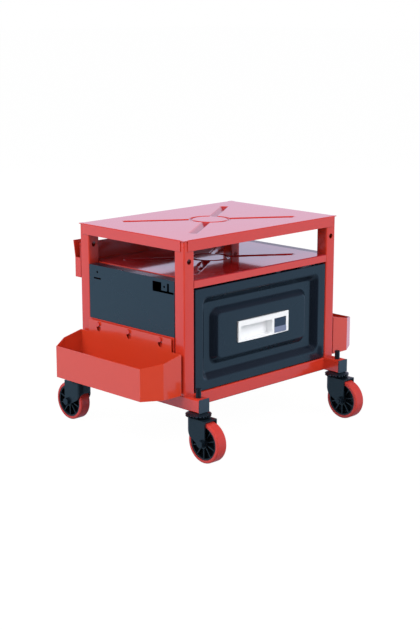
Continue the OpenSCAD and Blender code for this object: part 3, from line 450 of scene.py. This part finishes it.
def plated(name, colour, rough):
    """Zinc plate: a faintly blue silver metal, in patches of duller tone and rougher shine."""
    metal = Shader(bpy.data.materials.new(name))
    clouds = metal.cloud(scale=70.0)
    dull = tuple(0.78 * part for part in colour)
    tone = metal.blend(clouds.band(0.3, 0.7), colour, dull)
    shine = clouds.band(0.3, 0.7, rough, rough * 1.5)
    return metal.finish(metal.node(
        "ShaderNodeBsdfPrincipled", {}, Metallic=1.0, Base_Color=tone, Roughness=shine))


zinc = plated("zinc", (0.62, 0.63, 0.66), rough=0.3)
softened("rack_screws", 0.3 * MM, zinc, "frame")


# Trays
# A folded box of red sheet on each side, with slanted corners. Keyholes hang it from three screws in a red
# strip on the side panel, which hold it off that strip by short spacers.
TRAY_RED = (0.62, 0.050, 0.018)
tray_enamel = enamel("tray_enamel", TRAY_RED, RED_DUSTED, rough=0.22, gloss=0.5, lacquer=0.5)
for side in SIDES:
    softened("tray_" + side, 0.5 * MM, tray_enamel, "tray_" + side)
softened("tray_rails", 0.3 * MM, frame_enamel, "frame")
softened("tray_screws", 0.3 * MM, frame_enamel, "frame")
softened("tray_spacers", 0.2 * MM, zinc, "frame")


# Drawer slides
# Ball-bearing slides of rolled zinc-plated steel, screwed to the posts and to the drawer box.
for side in SIDES:
    softened("slide_inner_" + side, 0.2 * MM, zinc, "drawer")
    softened("ball_cage_" + side, 0, zinc, "cage_" + side)
softened("slide_outers", 0.2 * MM, zinc, "frame")
softened("slide_screws", 0.2 * MM, zinc, "frame")


# Drawer box
# An open box of thin sheet in the cabinet's blue-grey, screwed to the slides and the drawer front.
for name in ("drawer_box", "drawer_box_ends"):
    softened(name, 0.25 * MM, cabinet_enamel, "drawer")
softened("drawer_screws", 0.2 * MM, zinc, "drawer")


# Drawer front
# One sheet with its edges folded back, pressed in with a sloping recess around a raised field, which has
# the opening for the handle. The latch bar comes up through a notch in the upper fold.
front_low, front_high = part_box("drawer_front")
bezel_low, bezel_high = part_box("handle_bezel")
FLANGE = 10 * MM
RECESS_HALF_W, RECESS_HALF_H, RECESS_R, RECESS_DEPTH = 158 * MM, 77.4 * MM, 14 * MM, 12 * MM
RECESS_FOOT_R = 5 * MM
BOSS_HALF_W, BOSS_HALF_H, BOSS_R, BOSS_SLOPE = 120 * MM, 42.05 * MM, 8 * MM, 10.5 * MM
OPENING_LEFT, OPENING_RIGHT, OPENING_HALF_H = -64.6 * MM, 60.6 * MM, 15.6 * MM
OPENING_DROP = 3.7 * MM
OPENING_R = 1 * MM
LIP_REACH, FOOT_REACH = 4 * MM, 3 * MM
REACH_SHARE = 0.45
NOTCH_GAP = 0.3 * MM


def rounded_loft(stops, bends, steps=5):
    """Loops of points from stop to stop, with a curve of a given reach at each bend between them.

    No curve takes more than a share of the way to the next stop."""
    loops = [stops[0]]
    for before, here, after, reach in zip(stops, stops[1:], stops[2:], bends):
        start, end = [[p.lerp(q, min(REACH_SHARE, reach / max((q - p).length, reach)))
                       for p, q in zip(here, other)] for other in (before, after)]
        for i in range(steps + 1):
            t = i / steps
            loops.append([a.lerp(b, t).lerp(b.lerp(c, t), t) for a, b, c in zip(start, here, end)])
    return loops + [stops[-1]]


def drawer_face():
    """The front's skin, from the folded edge in to the handle's opening, with its notch for the latch."""
    x, y, z = (front_low.x + front_high.x) / 2, front_low.y, (front_low.z + front_high.z) / 2
    field_z = (bezel_low.z + bezel_high.z) / 2
    half_w, half_h = (front_high.x - front_low.x) / 2, (front_high.z - front_low.z) / 2

    def loop(x, z, half_w, half_h, radius, y):
        return [Vector((x + u, y, z + v)) for u, v in round_rect(half_w, half_h, radius)]

    stops = [
        loop(x, z, half_w, half_h, FOLD_R, y + FLANGE),
        loop(x, z, half_w, half_h, FOLD_R, y),
        loop(0, field_z, RECESS_HALF_W, RECESS_HALF_H, RECESS_R, y),
        loop(0, field_z, RECESS_HALF_W - RECESS_DEPTH, RECESS_HALF_H - RECESS_DEPTH, RECESS_FOOT_R,
             y + RECESS_DEPTH),
        loop(0, field_z, BOSS_HALF_W + BOSS_SLOPE, BOSS_HALF_H + BOSS_SLOPE, BOSS_R + BOSS_SLOPE,
             y + RECESS_DEPTH),
        loop(0, field_z, BOSS_HALF_W, BOSS_HALF_H, BOSS_R, y),
        loop((OPENING_LEFT + OPENING_RIGHT) / 2, field_z - OPENING_DROP, (OPENING_RIGHT - OPENING_LEFT) / 2,
             OPENING_HALF_H, OPENING_R, y)]
    bm = bmesh.new()
    skin_rings(bm, rounded_loft(stops, [FOLD_R, LIP_REACH, FOOT_REACH, FOOT_REACH, LIP_REACH]))
    bmesh.ops.recalc_face_normals(bm, faces=bm.faces)
    if max(bm.faces, key=lambda face: face.calc_area()).normal.y > 0:
        bmesh.ops.reverse_faces(bm, faces=bm.faces)
    latch_low, latch_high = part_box("latch_bar")
    low = Vector((latch_low.x - NOTCH_GAP, y + SHEET, front_high.z - 2 * SHEET))
    high = Vector((latch_high.x + NOTCH_GAP, y + 2 * FLANGE, front_high.z + SHEET))
    notch = bmesh.new()
    bmesh.ops.create_cube(notch, size=1, matrix=Matrix.LocRotScale((low + high) / 2, None, high - low))
    return cut_away(thickened("drawer_face", bm), notch)


piece("drawer_face", drawer_face(), cabinet_enamel, "drawer", ["drawer_front"])


# Handle and latch
# A white moulded bezel with a finger cup. Its blue thumb button pulls down a steel latch bar against a
# spring, inside the drawer front.
white_plastic = moulded("white_plastic", (0.93, 0.94, 0.955), (0.90, 0.91, 0.94), rough=0.25)
softened("handle_bezel", 0.7 * MM, white_plastic, "drawer", segments=3)
button_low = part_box("thumb_button")[0]
BUTTON_PAD = 11 * MM


def two_tone(name, low_colour, high_colour, split, rough):
    """Plastic moulded in two shots, which meet at a height."""
    plastic = Shader(bpy.data.materials.new(name))
    grit = plastic.cloud(scale=1100.0, detail=1.0)
    skin = plastic.node("ShaderNodeBump", {}, Strength=0.4, Distance=GRAIN_HEIGHT, Height=grit)
    tone = plastic.blend(plastic.height() > split, low_colour, high_colour)
    shine = grit.band(0.3, 0.7, rough * 0.9, rough * 1.1)
    return plastic.finish(plastic.node(
        "ShaderNodeBsdfPrincipled", {}, Base_Color=tone, Roughness=shine, Normal=skin))


button_plastic = two_tone("button_plastic", (0.19, 0.22, 0.34), (0.024, 0.038, 0.070),
                          split=button_low.z + BUTTON_PAD, rough=0.35)
softened("thumb_button", 0.3 * MM, button_plastic, "button")
softened("latch_bar", 0.2 * MM, cabinet_enamel, "latch")
softened("latch_guide", 0.2 * MM, zinc, "drawer")
spring = softened("latch_spring", 0, zinc, "drawer")
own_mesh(spring)


# Casters
# Pressed forks in blue-black enamel swivel on ball races under the base tubes. Each carries a black nylon
# wheel with ribs and a red polyurethane tread, on an axle bolt with a bush.
caster_enamel = enamel("caster_enamel", (0.006, 0.011, 0.017), (0.010, 0.017, 0.025),
                       rough=0.3, gloss=0.4, lacquer=0.0)
softened("caster_stems", 0.5 * MM, caster_enamel, "frame")
softened("stem_nuts", 0.3 * MM, zinc, "frame")
softened("swivel_plates", 0.5 * MM, caster_enamel, "frame")
softened("swivel_balls", 0, zinc, "frame")
hub_nylon = moulded("hub_nylon", (0.004, 0.006, 0.009), (0.007, 0.010, 0.014), rough=0.35)
tread_rubber = moulded("tread_rubber", (0.53, 0.036, 0.027), (0.55, 0.054, 0.045), rough=0.3)
for end in ENDS:
    for side in SIDES:
        corner = "_%s_%s" % (end, side)
        softened("fork" + corner, 0.8 * MM, caster_enamel, "fork" + corner,
                 segments=3)
        softened("axle" + corner, 0.4 * MM, caster_enamel, "fork" + corner)
        softened("bush" + corner, 0.2 * MM, zinc, "fork" + corner)
        softened("hub" + corner, 0.35 * MM, hub_nylon, "wheel" + corner)
        softened("tread" + corner, 0, tread_rubber, "wheel" + corner)


# Studio
# A white floor under soft boxes, with plain white all round for the camera. Shiny paint mirrors a pale
# violet wall far behind the seat, blue-white side walls, and a dark room on the camera's side.
FRAME_W, FRAME_H = 420, 630
FOCAL_PX = 1360.7
CENTRE_PX = (205.95, 316.73)
CAMERA_PLACE = (-1.8277, -1.8283, 0.8067)
CAMERA_YAW, CAMERA_PITCH = math.radians(44.83), math.radians(-13.11)
camera_data = bpy.data.cameras.new("camera")
camera_data.sensor_width = 36
camera_data.lens = FOCAL_PX / FRAME_H * camera_data.sensor_width
camera_data.shift_x = (FRAME_W / 2 - CENTRE_PX[0]) / FRAME_H
camera_data.shift_y = (CENTRE_PX[1] - FRAME_H / 2) / FRAME_H
camera = bpy.data.objects.new("camera", camera_data)
camera.location = CAMERA_PLACE
camera.rotation_euler = (math.pi / 2 + CAMERA_PITCH, 0, -CAMERA_YAW)
bpy.context.scene.collection.objects.link(camera)
bpy.context.scene.camera = camera
bpy.context.scene.view_settings.view_transform = "Standard"

DARK_ROOM = (0.03, 0.04, 0.06)
LEFT_WALL = (0.42, 0.70, 0.95)
RIGHT_WALL = (0.31, 0.52, 0.72)
FAR_WALL = (0.71, 0.67, 0.89)
CEILING = (0.12, 0.13, 0.18)
SOFT_LIGHT = (0.40, 0.40, 0.41)
WHITE = (1.0, 1.0, 1.0)
ahead = (math.sin(CAMERA_YAW), math.cos(CAMERA_YAW), 0)
rightward = (math.cos(CAMERA_YAW), -math.sin(CAMERA_YAW), 0)
world = Shader(bpy.data.worlds.new("studio"))
rays = world.node("ShaderNodeLightPath", {})
look = world.node("ShaderNodeTexCoord", {}).out("Generated")
depth = world.node("ShaderNodeVectorMath", {"operation": "DOT_PRODUCT"}, look, ahead)
height = world.node("ShaderNodeSeparateXYZ", {}, look).out("Z")
across = world.node("ShaderNodeVectorMath", {"operation": "DOT_PRODUCT"}, look, rightward)
# The side walls, then the dark room on the camera's side, the far wall, and the dark near the floor.
walls = world.blend(across.band(-0.3, 0.3), LEFT_WALL, RIGHT_WALL)
walls = world.blend(depth.band(-0.84, -0.5), DARK_ROOM, walls)
walls = world.blend(depth.band(0.44, 0.84), walls, FAR_WALL)
walls = world.blend(height.band(-0.42, -0.30, 0.6, 0.0), walls, DARK_ROOM)
mirrored = world.blend(height.band(0.3, 0.65), walls, CEILING)
seen = world.blend(rays.out("Is Glossy Ray"), SOFT_LIGHT, mirrored)
seen = world.blend(rays.out("Is Camera Ray"), seen, WHITE)
bpy.context.scene.world = world.finish(world.node("ShaderNodeBackground", {}, seen, 1.0))

FLOOR_HALF = 30
PAPER_GLOW = 1.055
GLOW_SHARE = 0.93
floor_mesh = bpy.data.meshes.new("floor")
floor_corners = [(x * FLOOR_HALF, y * FLOOR_HALF, 0) for x, y in [(-1, -1), (1, -1), (1, 1), (-1, 1)]]
floor_mesh.from_pydata(floor_corners, [], [(0, 1, 2, 3)])
floor = bpy.data.objects.new("floor", floor_mesh)
floor.visible_glossy = False
bpy.context.scene.collection.objects.link(floor)
paper = Shader(bpy.data.materials.new("floor_paper"))
lit_paper = paper.node("ShaderNodeBsdfDiffuse", {}, (0.5, 0.5, 0.5))
white_paper = paper.node("ShaderNodeEmission", {}, WHITE, PAPER_GLOW)
to_camera = paper.node("ShaderNodeLightPath", {}).out("Is Camera Ray")
floor_mesh.materials.append(paper.finish(
    paper.node("ShaderNodeMixShader", {}, to_camera * GLOW_SHARE, lit_paper, white_paper)))

SEAT_MIDDLE = Vector((0, 0, 0.2))


def soft_box(name, place, size, power):
    """A broad lamp aimed at the middle of the seat, which shiny paint doesn't mirror."""
    light = bpy.data.lights.new(name, "AREA")
    light.shape = "RECTANGLE"
    light.size, light.size_y = size
    light.energy = power
    box = bpy.data.objects.new(name, light)
    box.location = place
    box.rotation_euler = (SEAT_MIDDLE - Vector(place)).to_track_quat("-Z", "Y").to_euler()
    box.visible_glossy = False
    bpy.context.scene.collection.objects.link(box)


soft_box("front_box", place=(0.3, -2.4, 2.1), size=(2.4, 1.6), power=65)
soft_box("left_box", place=(-2.4, 0.3, 2.1), size=(2.4, 1.6), power=75)
soft_box("back_box", place=(2.2, 2.2, 2.0), size=(2.0, 2.0), power=35)
